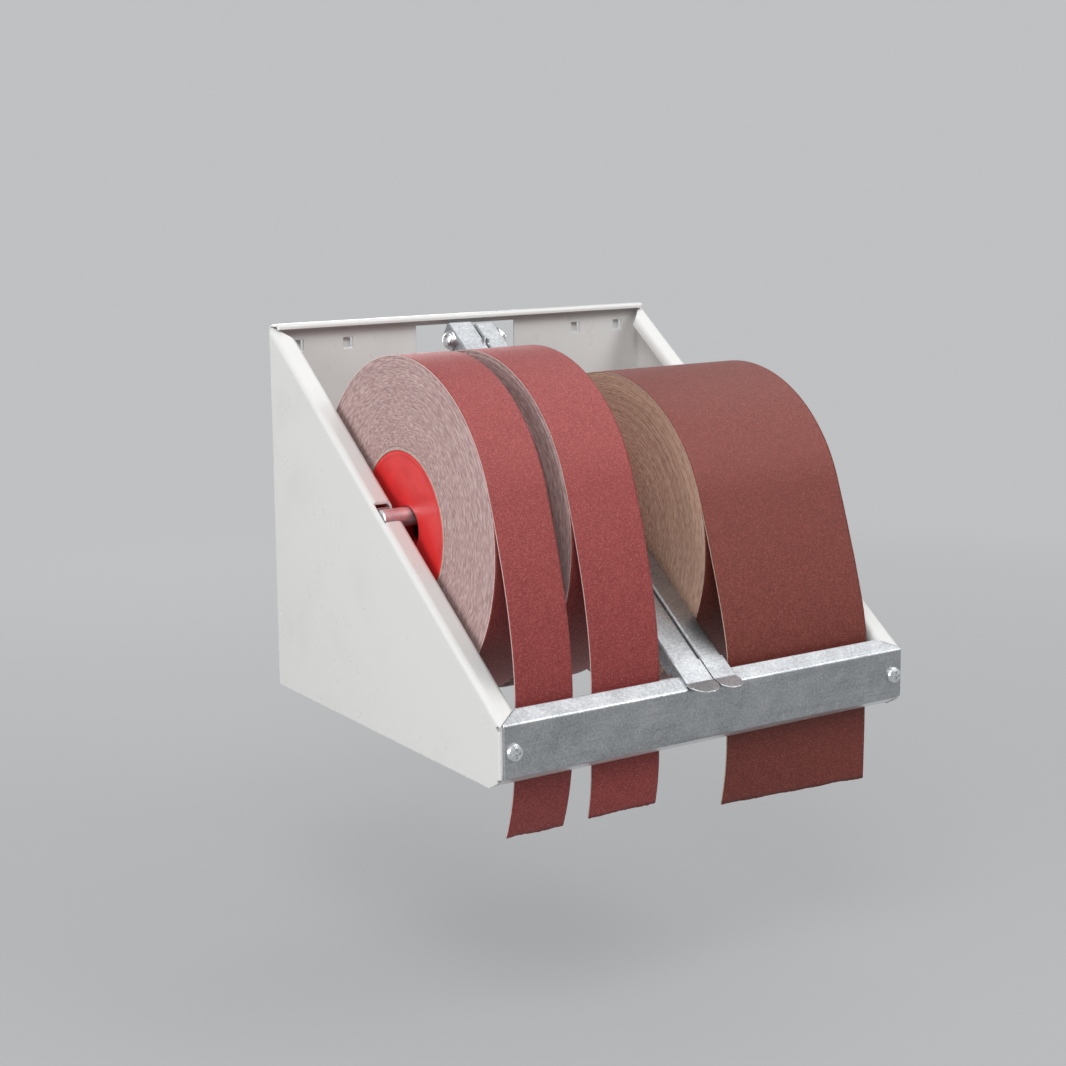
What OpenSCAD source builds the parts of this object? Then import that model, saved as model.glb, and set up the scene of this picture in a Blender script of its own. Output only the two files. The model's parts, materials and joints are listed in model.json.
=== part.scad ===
// Sandpaper roll holder for a perforated wall panel: a folded sheet body with a loose axle,
// three rolls of abrasive paper, a tear bar across the front and a sliding centre rail.
// Millimetres. The origin is the middle of the back's rear face; the front looks along -Y.

/* [Body] */
// Outer width over the two sides
body_w = 310; // [306:1:320]
// Depth from the back's rear face to the tear bar's front face
body_d = 290; // [286:1:300]
// Height of the back
body_h = 248.6; // [244:0.2:256]
// Height of the sides at the front edge
front_h = 39.6; // [38:0.2:42]
// Thickness of the painted sheet
sheet_t = 1.5; // [1.2:0.1:1.8]
// Outer radius of the folds in the painted sheet
fold_r = 4; // [3:0.5:5]
// Width of the inward flange along each sloped edge
flange_w = 15; // [13:0.5:16]
// Depth of the return lip on that flange
lip_h = 6; // [4:0.5:7]
// Depth of the flange along the back's top edge
top_flange_d = 9; // [7:0.5:9.5]

/* [Panel hooks] */
// Hole pitch of the perforated panel
panel_pitch = 38; // [38:1:38]
// Width of a hook tab
hook_w = 7; // [6:0.2:7.2]
// Free gap behind the back that takes the panel's sheet
hook_gap = 1.9; // [1.6:0.1:2.2]

/* [Tear bar] */
// Thickness of the galvanised sheet
bar_t = 1.5; // [1.2:0.1:1.6]
// Width of the bar's top flange, along the slope
bar_top_w = 11; // [10:0.5:12]
// Height of the bar's front face
bar_face_h = 31.6; // [30:0.2:33]
// Depth of the lower lip
bar_lip_d = 12.2; // [10:0.2:12.4]
// Drop of the lower lip
bar_lip_h = 6.8; // [5:0.2:7]

/* [Axle] */
// Radius of the rod
rod_r = 6; // [5.5:0.1:6]
// Distance of the rod's axis in front of the back
rod_y = 148; // [146:0.5:150]
// Height of the rod's axis above the origin
rod_z = 13; // [12:0.5:14]

/* [Rolls] */
// Width of the left roll
roll_1_w = 40; // [36:1:40]
// Width of the middle roll
roll_2_w = 50; // [46:1:50]
// Width of the right roll
roll_3_w = 115; // [110:1:115]
// Outer radius of the left and middle rolls
roll_r = 110; // [104:1:111]
// Outer radius of the right roll
roll_3_r = 107; // [100:1:108]
// Radius of the hubs' bore
hub_bore_r = 13.5; // [12.5:0.1:14]
// Bore radius of the right roll's core, which hangs straight on the rod
core_3_bore_r = 31.5; // [30:0.5:32]
// Thickness of the abrasive strip
strip_t = 0.8; // [0.7:0.1:0.9]

/* [Hidden] */
$fn = 96;

// Colours
paint_grey = [0.87, 0.87, 0.86];
zinc = [0.66, 0.68, 0.70];
bright_zinc = [0.82, 0.83, 0.85];
hub_red = [0.85, 0.16, 0.16];
card_brown = [0.66, 0.52, 0.40];
abrasive_red = [0.58, 0.26, 0.26];
abrasive_brown = [0.48, 0.26, 0.23];

// Body
half_w = body_w/2;
z_top = body_h/2;
z_bottom = -body_h/2;
z_front = z_bottom + front_h;
slope_angle = atan((body_h - front_h)/body_d);
slope_len = norm([body_d, body_h - front_h]);
inner_x = half_w - sheet_t;
chamfer_d = 13.4;
chamfer_h = 7.4;
side_leg = 12;
fold_steps = 6;
return_y = body_d - bar_t - 0.1;
front_fold_r = 2.2;
return_top = z_front - 3.2;
return_bottom = z_bottom + chamfer_h;
side_front = -return_y + 1.2*front_fold_r;
corner_slit = 0.5;
mitre_gap = 0.4;
relief_r = 1.6;
relief_back = 1.9;
relief_drop = 2.1;
top_fold_r = 2.2;
top_lip_h = 3.6;
top_ear_inset = 1.2;
top_ear_h = 6;
top_corner_r = 5.4;
corner_skin = 0.05;
corner_start = 8;
taper_start = 5;
taper_len = 14;

// Windows and slot in the back
hook_x = [-3.5*panel_pitch, -2.5*panel_pitch, 2.5*panel_pitch, 3.5*panel_pitch];
hook_z = 112.3;
window_w = 7.6;
window_h = 7.7;
slot_w = 82;
slot_low = 97;
slot_high = 117;

// Notch that the rod drops into
notch_half = 7.2;
cradle_gap = 0.3;
cradle_t = 2;
cradle_w = 10.5;
cradle_plate_h = 17;
cradle_plate_d = 20;
cradle_plate_front = 6.2;
rod_len = body_w - 2*sheet_t - 2;

// Tear bar
bar_half = half_w - sheet_t - 0.5;
bar_end_gap = 0.2;
lip_room = 1.2;
bar_fold_r = 2.5;
bar_end_cut = 9;
bar_screw_x = 146.4;
bar_screw_z = -101;
m5_r = 2.5;
m5_hole_r = 2.75;
pan_r = 5.3;
pan_h = 3.2;
nut_r = 4.6;
nut_h = 4;
recess_w = 1.4;
recess_d = 1.6;

// Centre rail
rail_t = 1.5;
rail_lift = 0.05;
rail_left_w = 20.5;
rail_right_w = 17;
rail_seam = 0.5;
rail_lip = 8.5;
rail_ear = 13;
rail_ear_len = 30;
rail_web = 26;
rail_fold_r = 1.8;
rail_left_start = 12;
rail_right_start = 14.5;
rail_leg_end = 338;
rail_tongue = 12;
rail_tongue_lift = 20;
rail_tongue_back = 3;
rail_tongue_root = 0.5;
rail_tongue_step = 0.22;
rail_tab_low = 97.3;
rail_tab_high = 108;
rail_tab_inset = 0.2;
rail_notch_half = 7;
rail_notch_floor = 6.8;
rail_back_gap = 2;

// Cross screw of the rail
cross_y = 15;
cross_z = 106.4;
dome_r = 5.8;
dome_h = 4.6;
washer_r = 6.8;
washer_t = 1.2;
spacer_r = 4.4;
cross_tail = 6.5;

// Rolls: [left face, width, outer radius, bore radius, core radius, strip's free length, curl radius]
hang_gap = 0.3;
core_1_bore_r = 49;
core_1_r = 51;
core_3_r = 35;
rolls = [
    [-136.5, roll_1_w, roll_r, hub_bore_r, core_1_r, 39, 80],
    [-83, roll_2_w, roll_r, hub_bore_r, core_1_r, 34, 150],
    [20, roll_3_w, roll_3_r, core_3_bore_r, core_3_r, 46, 190]];
function roll_x(k) = rolls[k][0];
function roll_w(k) = rolls[k][1];
function roll_or(k) = rolls[k][2];
function roll_axis_z(k) = rod_z - (rolls[k][3] - rod_r - hang_gap);
function roll_core_r(k) = rolls[k][4];

// Hub
hub_len = 15;
hub_gap = 0.15;
hub_wall = 2.2;
hub_dish = 3;
hub_collar_r = 17;
hub_ribs = 6;
hub_rib_t = 2;

// Outer turn of a winding: one loose turn of strip over a plain core
turn_steps = 60;
turn_sweep = 358;
turn_rise = 1.4;
turn_bite = 0.2;

// Free strips
strip_front_y = body_d - bar_lip_d - 1.2;
strip_behind = 0.5;
strip_clear = 0.5;
depart_angle = 9.5;
depart_lean = 20;
strip_bar_z = -78;
strip_span_end = -121;
strip_pass_z = -124;
span_steps = 14;
curl_steps = 8;
strip_top_inset = 12;

// Plane geometry for folded sheet
function unit(v) = v/norm(v);
function left_of(v) = [-v[1], v[0]];
function flipped(p) = [for (i = [len(p) - 1:-1:0]) p[i]];
// The path moved sideways by d, with sharp corners
function shifted_path(p, d) = [for (i = [0:len(p) - 1]) let (
    a = i > 0 ? unit(p[i] - p[i - 1]) : unit(p[1] - p[0]),
    b = i < len(p) - 1 ? unit(p[i + 1] - p[i]) : a,
    m = unit(left_of(a) + left_of(b)))
    p[i] + m*(d/(m*left_of(a)))];
// One corner turned into an arc of radius r
function corner_arc(before, at, after, r) = let (
    a = unit(before - at),
    b = unit(after - at),
    half = acos(a*b)/2,
    middle = at + unit(a + b)*(r/sin(half)),
    start = at + a*(r/tan(half)) - middle,
    sweep = (180 - 2*half)*sign(cross(a, b))*-1)
    [for (k = [0:fold_steps]) let (t = sweep*k/fold_steps)
        middle + [start[0]*cos(t) - start[1]*sin(t), start[0]*sin(t) + start[1]*cos(t)]];
function rounded_path(p, r) = [for (i = [0:len(p) - 1])
    each (i == 0 || i == len(p) - 1 ? [p[i]] : corner_arc(p[i - 1], p[i], p[i + 1], r))];
// Section of a folded sheet whose outer face follows the path; the sheet lies to the path's left
function sheet_section(p, r, t) =
    concat(rounded_path(p, r), flipped(rounded_path(shifted_path(p, t), r - t)));
// Section of a strip that follows a smooth path, with the thickness to the path's left
function strip_section(p, t) = concat(p, flipped(shifted_path(p, t)));

// Local frame of the sloped plane: x across, y out of the plane, z down the slope from the back
module on_slope() {
    translate([0, 0, z_top]) rotate([90 + slope_angle, 0, 0]) children();
}

// Outline drawn in the (Y, Z) plane, extruded along X from x0 by w
module along_x(x0, w) {
    translate([x0, 0, 0]) rotate([90, 0, 90]) linear_extrude(w) children();
}

// Cylinder along X from x0 by w
module rod_x(x0, w, r, y, z) {
    translate([x0, y, z]) rotate([0, 90, 0]) cylinder(r = r, h = w);
}

// Cylinder along Y from y0 by h
module rod_y_axis(x, y0, z, h, r) {
    translate([x, y0, z]) rotate([-90, 0, 0]) cylinder(r = r, h = h);
}

module mirrored_pair() {
    children();
    mirror([1, 0, 0]) children();
}

// Painted body

// How far below the sloped edge the plain sides end
function side_drop() = side_leg/cos(slope_angle) - 1;

// Outline of the sides below the sloped fold
module side_outline() {
    drop = side_drop();
    polygon([[0.5, z_bottom], [0.5, z_top - drop], [-body_d, z_front - drop],
        [-body_d, z_bottom + chamfer_h], [-body_d + chamfer_d, z_bottom]]);
}

module folded_walls() {
    path = [[-half_w, side_front], [-half_w, 0], [half_w, 0], [half_w, side_front]];
    intersection() {
        translate([0, 0, z_bottom]) linear_extrude(body_h)
            polygon(sheet_section(flipped(path), fold_r, sheet_t));
        along_x(-body_w, 2*body_w) side_outline();
    }
}

// Section of the back and its top flange from a chosen height up
function back_section(from) = sheet_section(
    [[0, from], [0, z_top], [-top_flange_d, z_top], [-top_flange_d, z_top - top_lip_h]], top_fold_r, sheet_t);

module back_panel() {
    edge = half_w - fold_r;
    ear_edge = half_w - top_ear_inset;
    corner = top_flange_d - 4;
    difference() {
        union() {
            along_x(-edge, 2*edge) polygon(back_section(z_bottom));
            along_x(-ear_edge, 2*ear_edge) polygon(back_section(z_top - top_ear_h));
        }
        mirrored_pair() translate([ear_edge, -top_flange_d, z_top - fold_r]) rotate([0, 0, 45])
            cube([corner, corner, 3*fold_r], center = true);
        // upper corners rounded as seen from the front
        mirrored_pair() translate([half_w - top_corner_r, 0, z_top - top_corner_r]) difference() {
            translate([0, -2*top_flange_d, 0]) cube([2*top_corner_r, 4*top_flange_d, 2*top_corner_r]);
            rotate([90, 0, 0]) cylinder(r = top_corner_r, h = 6*top_flange_d, center = true);
        }
    }
    mirrored_pair() back_corner();
}

// Upper end of the rounded corner between the back and one side
module back_corner() {
    outer = fold_r - corner_skin;
    inner = fold_r - sheet_t + 4*corner_skin;
    turn = 90 - corner_start;
    low = z_top - side_drop() - 1;
    arc = [for (i = [0:fold_steps]) 180 - corner_start - turn*i/fold_steps];
    translate([fold_r - half_w, -fold_r, low]) linear_extrude(side_drop() + 1.5 - top_ear_h)
        polygon(concat([for (a = arc) outer*[cos(a), sin(a)]], [[1, outer], [1, inner]],
            [for (a = flipped(arc)) inner*[cos(a), sin(a)]]));
}

// Fold, flange and return lip along one sloped edge, tapered at the back and mitred at the tear bar
module slope_flange() {
    path = [[-half_w, -side_leg], [-half_w, 0], [-half_w + flange_w, 0], [-half_w + flange_w, -lip_h]];
    difference() {
        on_slope() translate([0, 0, -side_leg]) linear_extrude(slope_len + 2*side_leg)
            polygon(sheet_section(flipped(path), fold_r, sheet_t));
        translate([-body_w, -sheet_t - corner_slit, z_bottom]) cube([2*body_w, body_d, 2*body_h]);
        on_slope() translate([-half_w + fold_r, -side_leg, taper_start]) rotate([0, -taper_angle(), 0])
            translate([-flange_w, 0, -3*flange_w]) cube([4*flange_w, 2*side_leg, 3*flange_w]);
        translate([-body_w, -return_y - 3*side_leg, z_bottom]) cube([2*body_w, 3*side_leg, body_h]);
        // the leg ends where the front fold starts
        translate([-body_w, side_front - body_d, z_bottom])
            cube([half_w + fold_r + sheet_t, body_d, front_h - fold_r/4]);
        on_slope() translate([-half_w, -side_leg, slope_len - mitre_gap]) rotate([0, mitre_angle(), 0])
            cube([2*flange_w, 2*side_leg, 3*side_leg]);
    }
}

// Angle of the flange's taper at the back, from the line across
function taper_angle() = atan(taper_len/(flange_w - fold_r));

// Angle of the mitre between the side flange and the bar's top flange
function mitre_angle() = atan(bar_top_w/flange_w);

module front_return() {
    path = [[-half_w, -return_y + 2.5*fold_r], [-half_w, -return_y], [-half_w + flange_w, -return_y]];
    difference() {
        translate([0, 0, return_bottom]) linear_extrude(return_top - return_bottom)
            polygon(sheet_section(path, front_fold_r, sheet_t));
        // room for the tear bar's lower lip
        translate([-bar_half - bar_end_gap, -body_d, z_bottom])
            cube([body_w, 2*fold_r, front_h - bar_face_h + bar_t + lip_room]);
    }
}

// Hook tab: straight back through the panel's hole, then down behind its sheet
module panel_hook(x) {
    translate([x - hook_w/2, -sheet_t, hook_z]) cube([hook_w, sheet_t + hook_gap + sheet_t, sheet_t]);
    translate([x - hook_w/2, hook_gap, hook_z - window_h + 1]) cube([hook_w, sheet_t, window_h]);
}

module folded_body() {
    color(paint_grey) {
        difference() {
            union() {
                folded_walls();
                back_panel();
                mirrored_pair() slope_flange();
                mirrored_pair() front_return();
            }
            for (x = hook_x)
                translate([x - window_w/2, -2*sheet_t, hook_z - window_h])
                    cube([window_w, 4*sheet_t, window_h]);
            translate([-slot_w/2, -2*sheet_t, slot_low]) cube([slot_w, 4*sheet_t, slot_high - slot_low]);
            mirrored_pair() translate([-inner_x + corner_slit, -rod_y - notch_half, rod_z - rod_r - 2])
                cube([flange_w + 2, 2*notch_half, 60]);
            rod_y_axis(bar_screw_x, -body_d, bar_screw_z, 10, m5_hole_r);
            rod_y_axis(-bar_screw_x, -body_d, bar_screw_z, 10, m5_hole_r);
            mirrored_pair()
                rod_x(-half_w - 1, 2*sheet_t, relief_r, -return_y + relief_back, z_front - relief_drop);
        }
        for (x = hook_x) panel_hook(x);
    }
}

// Saddle inside the left side that carries the rod's end
module axle_cradle() {
    outer = rod_r + cradle_gap + cradle_t;
    inner = rod_r + cradle_gap;
    front_top = -5;
    rear_top = 6;
    color(zinc) translate([0, -rod_y, rod_z]) difference() {
        union() {
            along_x(-inner_x + corner_slit, cradle_w) union() {
                intersection() {
                    circle(r = outer);
                    translate([-outer, -outer]) square([2*outer, outer]);
                }
                translate([inner, -0.1]) square([cradle_t, rear_top]);
            }
            translate([-inner_x, -cradle_plate_front, -outer - cradle_plate_h])
                cube([cradle_t, cradle_plate_d, cradle_plate_h + cradle_t + 1]);
        }
        rod_x(-half_w, 2*half_w, inner, 0, 0);
        translate([-half_w, -2*outer - inner + 1.4, front_top]) cube([half_w, 2*outer, 2*outer]);
        translate([-half_w, -inner, 0]) cube([half_w, 2*inner, 2*outer]);
    }
}

module axle_cradle_left() {
    axle_cradle();
}

module axle_cradle_right() {
    mirror([1, 0, 0]) axle_cradle();
}

// Galvanised tear bar

module bar_profile() {
    top_y = -body_d + bar_top_w*cos(slope_angle);
    top_z = z_front + bar_top_w*sin(slope_angle);
    low_z = z_front - bar_face_h;
    path = [[top_y, top_z], [-body_d, z_front], [-body_d, low_z], [-body_d + bar_lip_d, low_z - bar_lip_h]];
    polygon(sheet_section(path, bar_fold_r, bar_t));
}

module tear_bar() {
    color(zinc) difference() {
        along_x(-bar_half, 2*bar_half) bar_profile();
        // mitred ends of the top flange
        mirrored_pair() on_slope() translate([-half_w, -side_leg/2, slope_len]) rotate([0, mitre_angle(), 0])
            translate([-flange_w, 0, -3*flange_w]) cube([4*flange_w, side_leg, 3*flange_w]);
        // lower lip cut back at its ends
        mirrored_pair() translate([-bar_half, -body_d + bar_fold_r, z_bottom]) rotate([0, 0, 45])
            translate([-2*bar_end_cut, -bar_end_cut, -bar_lip_h])
                cube([2*bar_end_cut, 4*bar_end_cut, 2.2*bar_lip_h]);
        rod_y_axis(bar_screw_x, -body_d - 5, bar_screw_z, 10, m5_hole_r);
        rod_y_axis(-bar_screw_x, -body_d - 5, bar_screw_z, 10, m5_hole_r);
    }
}

// Pan-head screw with a cross recess, pointing along +Y
module bar_screw(x) {
    difference() {
        union() {
            translate([x, -body_d, bar_screw_z]) rotate([90, 0, 0]) rotate_extrude()
                polygon([[0, 0], [pan_r, 0], [pan_r, 0.35*pan_h], [0.88*pan_r, 0.75*pan_h],
                    [0.6*pan_r, 0.95*pan_h], [0, pan_h]]);
            rod_y_axis(x, -body_d - 0.1, bar_screw_z, 13, m5_r);
        }
        for (turn = [0, 90]) translate([x, -body_d - pan_h, bar_screw_z]) rotate([0, turn, 0])
            cube([1.15*pan_r, 2*recess_d, recess_w], center = true);
    }
}

module tear_bar_screws() {
    color(bright_zinc) {
        bar_screw(bar_screw_x);
        bar_screw(-bar_screw_x);
    }
}

module hex_nut_y(x, y0, z) {
    difference() {
        translate([x, y0, z]) rotate([-90, 0, 0]) cylinder(r = nut_r, h = nut_h, $fn = 6);
        rod_y_axis(x, y0 - 1, z, nut_h + 2, m5_r + 0.05);
    }
}

module tear_bar_nuts() {
    color(bright_zinc) {
        hex_nut_y(bar_screw_x, -return_y + sheet_t, bar_screw_z);
        hex_nut_y(-bar_screw_x, -return_y + sheet_t, bar_screw_z);
    }
}

// Centre rail

// One half of the rail, drawn on the left: lip, flange and web, with a front tongue and a rear tab
module rail_half(w, start) {
    top = rail_lift + rail_t;
    path = [[-w, -rail_lip], [-w, top], [-rail_seam, top], [-rail_seam, -rail_web]];
    difference() {
        union() {
            on_slope() translate([0, 0, start]) linear_extrude(rail_leg_end - start)
                polygon(sheet_section(flipped(path), rail_fold_r, rail_t));
            // flange alone over the tear bar
            on_slope() translate([-w, rail_lift, rail_leg_end - 1])
                cube([w - rail_seam, rail_t, slope_len - rail_tongue_back - rail_leg_end + 1]);
            // deeper ear of the lip for the cross screw
            on_slope() translate([-w, -rail_ear, start]) cube([rail_t, rail_ear - 1, rail_ear_len]);
            rail_tongue(w);
            // tab that rests in the slot of the back
            translate([-rail_seam - rail_t, -2*cross_y, rail_tab_low])
                cube([rail_t, 2*cross_y, rail_tab_high - rail_tab_low]);
        }
        // clear of the back, except for the tab, which ends inside the slot
        translate([-body_w, -rail_tab_inset, -body_h]) cube([2*body_w, body_d, 2*body_h]);
        translate([-body_w, -rail_back_gap, rail_tab_high]) cube([2*body_w, body_d, body_h]);
        translate([-body_w, -rail_back_gap, -body_h + rail_tab_low]) cube([2*body_w, body_d, body_h]);
        // flat underside on the tear bar
        on_slope() translate([-body_w, -rail_lip, slope_len - 3*rail_t])
            cube([2*body_w, rail_lip + rail_lift, 3*rail_t]);
        // notch for the axle
        translate([-body_w, -rod_y - rail_notch_half, rail_notch_floor])
            cube([2*body_w, 2*rail_notch_half, body_h]);
        rod_x(-body_w, 2*body_w, m5_hole_r, -cross_y, cross_z);
    }
}

// Rounded tongue at the rail's front end, bent up a little and standing out over the tear bar's edge
module rail_tongue(w) {
    wide = w - rail_seam;
    reach = rail_tongue + rail_tongue_root;
    on_slope() translate([-w, rail_lift + rail_tongue_step, slope_len - rail_tongue_back])
        rotate([-rail_tongue_lift, 0, 0]) translate([0, 0, -rail_tongue_root]) rotate([90, 0, 0])
            translate([0, 0, -rail_t]) linear_extrude(rail_t) intersection() {
                union() {
                    translate([wide/2, reach - wide/2]) circle(r = wide/2 + 0.4);
                    square([wide, reach - wide/2]);
                }
                square([wide, reach]);
            }
}

module rail_left() {
    color(zinc) rail_half(rail_left_w, rail_left_start);
}

module rail_right() {
    color(zinc) mirror([1, 0, 0]) rail_half(rail_right_w, rail_right_start);
}

module rail_cross_screw() {
    head_x = -rail_left_w - washer_t;
    color(bright_zinc) {
        translate([head_x, -cross_y, cross_z]) rotate([0, -90, 0]) rotate_extrude()
            polygon([[0, 0], [dome_r, 0], [dome_r, 0.2*dome_h], for (a = [15:15:75])
                [dome_r*cos(a), 0.2*dome_h + 0.8*dome_h*sin(a)], [0, dome_h]]);
        rod_x(head_x - 0.5, -head_x + 0.5 + rail_right_w + cross_tail, m5_r, -cross_y, cross_z);
    }
}

module washer_x(x0) {
    difference() {
        rod_x(x0, washer_t, washer_r, -cross_y, cross_z);
        rod_x(x0 - 1, washer_t + 2, m5_hole_r, -cross_y, cross_z);
    }
}

module rail_cross_washers() {
    color(bright_zinc) {
        washer_x(-rail_left_w - washer_t);
        washer_x(rail_right_w);
    }
}

module rail_cross_nut() {
    x0 = rail_right_w + washer_t;
    color(bright_zinc) difference() {
        translate([x0, -cross_y, cross_z]) rotate([0, 90, 0]) cylinder(r = nut_r, h = nut_h, $fn = 6);
        rod_x(x0 - 1, nut_h + 2, m5_r + 0.05, -cross_y, cross_z);
    }
}

// Distance tubes that keep the lips from being drawn in: one from each lip to its web
module rail_spacer_tube() {
    color(zinc) {
        spacer(-rail_left_w + rail_t, rail_left_w - rail_seam - 2*rail_t);
        spacer(rail_seam + rail_t, rail_right_w - rail_seam - 2*rail_t);
        spacer(-rail_seam, 2*rail_seam);
    }
}

module spacer(x0, w) {
    difference() {
        rod_x(x0, w, spacer_r, -cross_y, cross_z);
        rod_x(x0 - 1, w + 2, m5_hole_r, -cross_y, cross_z);
    }
}

// Axle and rolls

module axle_rod() {
    chamfer = 0.8;
    color(bright_zinc) translate([-rod_len/2, -rod_y, rod_z]) rotate([0, 90, 0]) rotate_extrude()
        polygon([[0, 0], [rod_r - chamfer, 0], [rod_r, chamfer], [rod_r, rod_len - chamfer],
            [rod_r - chamfer, rod_len], [0, rod_len]]);
}

// Plastic hub plugged into the core's end; drawn for a left end at x = 0
module hub(k) {
    outer = core_1_bore_r - hub_gap;
    face = [[hub_bore_r + 0.8, hub_dish], [hub_collar_r, hub_dish - 0.6], [outer - 4, 0.6], [outer - 2.5, 0],
        [outer - 0.5, 0], [outer, 0.5]];
    inside = [[outer, hub_len], [outer - hub_wall, hub_len], [outer - hub_wall, hub_wall + 0.6],
        [hub_collar_r + hub_wall, hub_dish + hub_wall], [hub_collar_r, hub_dish + hub_wall + 1],
        [hub_collar_r, hub_len], [hub_bore_r, hub_len], [hub_bore_r, hub_dish + 0.8]];
    translate([0, -rod_y, roll_axis_z(k)]) {
        rotate([0, 90, 0]) rotate_extrude() polygon(concat(face, inside));
        for (i = [0:hub_ribs - 1]) rotate([360/hub_ribs*i, 0, 0])
            translate([hub_dish + 1, hub_collar_r - 0.5, -hub_rib_t/2])
                cube([hub_len - hub_dish - 3, outer - hub_wall - hub_collar_r + 1, hub_rib_t]);
    }
}

module hub_left(k) {
    color(hub_red) translate([roll_x(k), 0, 0]) hub(k);
}

module hub_right(k) {
    color(hub_red) translate([roll_x(k) + roll_w(k), 0, 0]) mirror([1, 0, 0]) hub(k);
}

module core(k, bore) {
    color(card_brown) difference() {
        rod_x(roll_x(k), roll_w(k), roll_core_r(k), -rod_y, roll_axis_z(k));
        rod_x(roll_x(k) - 1, roll_w(k) + 2, bore, -rod_y, roll_axis_z(k));
    }
}

// Wound abrasive: a plain wound body under one loose outer turn that ends where the strip leaves
module winding(k, tint) {
    r_plain = roll_or(k) - strip_t - turn_rise;
    // inner face of the outer turn, from its start on the wound body to its free end
    turn = [for (i = [0:turn_steps]) let (
        a = 180 - depart_angle - 360 + turn_sweep*i/turn_steps,
        r = r_plain - turn_bite + (turn_rise + turn_bite)*i/turn_steps)
        r*[cos(a), sin(a)]];
    color(tint) translate([0, -rod_y, roll_axis_z(k)]) difference() {
        union() {
            rod_x(roll_x(k), roll_w(k), r_plain, 0, 0);
            along_x(roll_x(k), roll_w(k)) polygon(flipped(strip_section(turn, -strip_t)));
        }
        rod_x(roll_x(k) - 1, roll_w(k) + 2, roll_core_r(k) + 0.15, 0, 0);
    }
}

// Front face of the strip between the roll and the tear bar, from the roll downwards
function span_path(k) = let (
    r = roll_or(k) + strip_clear + strip_t,
    start = [-rod_y - r*cos(depart_angle), roll_axis_z(k) + r*sin(depart_angle)],
    knee = [-strip_front_y, start[1] - (strip_front_y + start[0])/tan(depart_lean)],
    foot = [-strip_front_y, strip_bar_z])
    concat([for (i = [0:span_steps]) let (t = i/span_steps)
        start*(1 - t)*(1 - t) + knee*2*t*(1 - t) + foot*t*t], [[-strip_front_y, strip_span_end]]);

module strip_span(k, tint) {
    color(tint) along_x(roll_x(k), roll_w(k)) polygon(strip_section(span_path(k), strip_t));
}

// Straight run of the pulled strip: tangent to the roll and just behind the span at the bar
function pull_point() = [-strip_front_y + strip_t + strip_behind, strip_pass_z];
function pull_angle(k) = let (
    to_axis = [-rod_y, roll_axis_z(k)] - pull_point(),
    r = roll_or(k) + strip_clear + strip_t)
    atan2(to_axis[0], to_axis[1]) - asin(r/norm(to_axis));
function pull_run(k) = let (
    to_axis = [-rod_y, roll_axis_z(k)] - pull_point(),
    r = roll_or(k) + strip_clear + strip_t)
    sqrt(to_axis*to_axis - r*r) - strip_top_inset;
// Front face of the pulled strip: from the roll to the bar, then straight down with a slight curl backwards
function end_path(k) = let (
    lean = pull_angle(k),
    curl_r = rolls[k][6],
    curl = rolls[k][5]/curl_r*180/PI)
    concat([pull_point() + pull_run(k)*[sin(lean), cos(lean)]], [for (i = [0:curl_steps])
        let (a = curl*i/curl_steps) pull_point() + curl_r*[1 - cos(a), -sin(a)]]);

module strip_end(k, tint) {
    color(tint) along_x(roll_x(k), roll_w(k)) polygon(strip_section(end_path(k), strip_t));
}

echo(slope_angle = slope_angle, pull_angles = [for (k = [0:2]) pull_angle(k)],
    roll_axis_z = [for (k = [0:2]) roll_axis_z(k)], least_turn_gap = turn_rise*turn_sweep/360 - turn_bite,
    strip_front_y = strip_front_y);

folded_body();
axle_cradle_left();
axle_cradle_right();
tear_bar();
tear_bar_screws();
tear_bar_nuts();
rail_left();
rail_right();
rail_cross_screw();
rail_cross_washers();
rail_cross_nut();
rail_spacer_tube();
axle_rod();
hub_left(0);  // roll_1_hub_left
hub_right(0);  // roll_1_hub_right
core(0, core_1_bore_r);  // roll_1_core
winding(0, abrasive_red);  // roll_1_winding
strip_span(0, abrasive_red);  // roll_1_strip_span
strip_end(0, abrasive_red);  // roll_1_strip_end
hub_left(1);  // roll_2_hub_left
hub_right(1);  // roll_2_hub_right
core(1, core_1_bore_r);  // roll_2_core
winding(1, abrasive_red);  // roll_2_winding
strip_span(1, abrasive_red);  // roll_2_strip_span
strip_end(1, abrasive_red);  // roll_2_strip_end
core(2, core_3_bore_r);  // roll_3_core
winding(2, abrasive_brown);  // roll_3_winding
strip_span(2, abrasive_brown);  // roll_3_strip_span
strip_end(2, abrasive_brown);  // roll_3_strip_end
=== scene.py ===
"""Looks of the sandpaper roll holder: finishes, wound rolls, free strips and a plain studio."""

import json
import logging
import math
import random
from dataclasses import dataclass
from enum import Enum

import bmesh
import bpy
from mathutils import Matrix, Vector, noise


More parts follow.
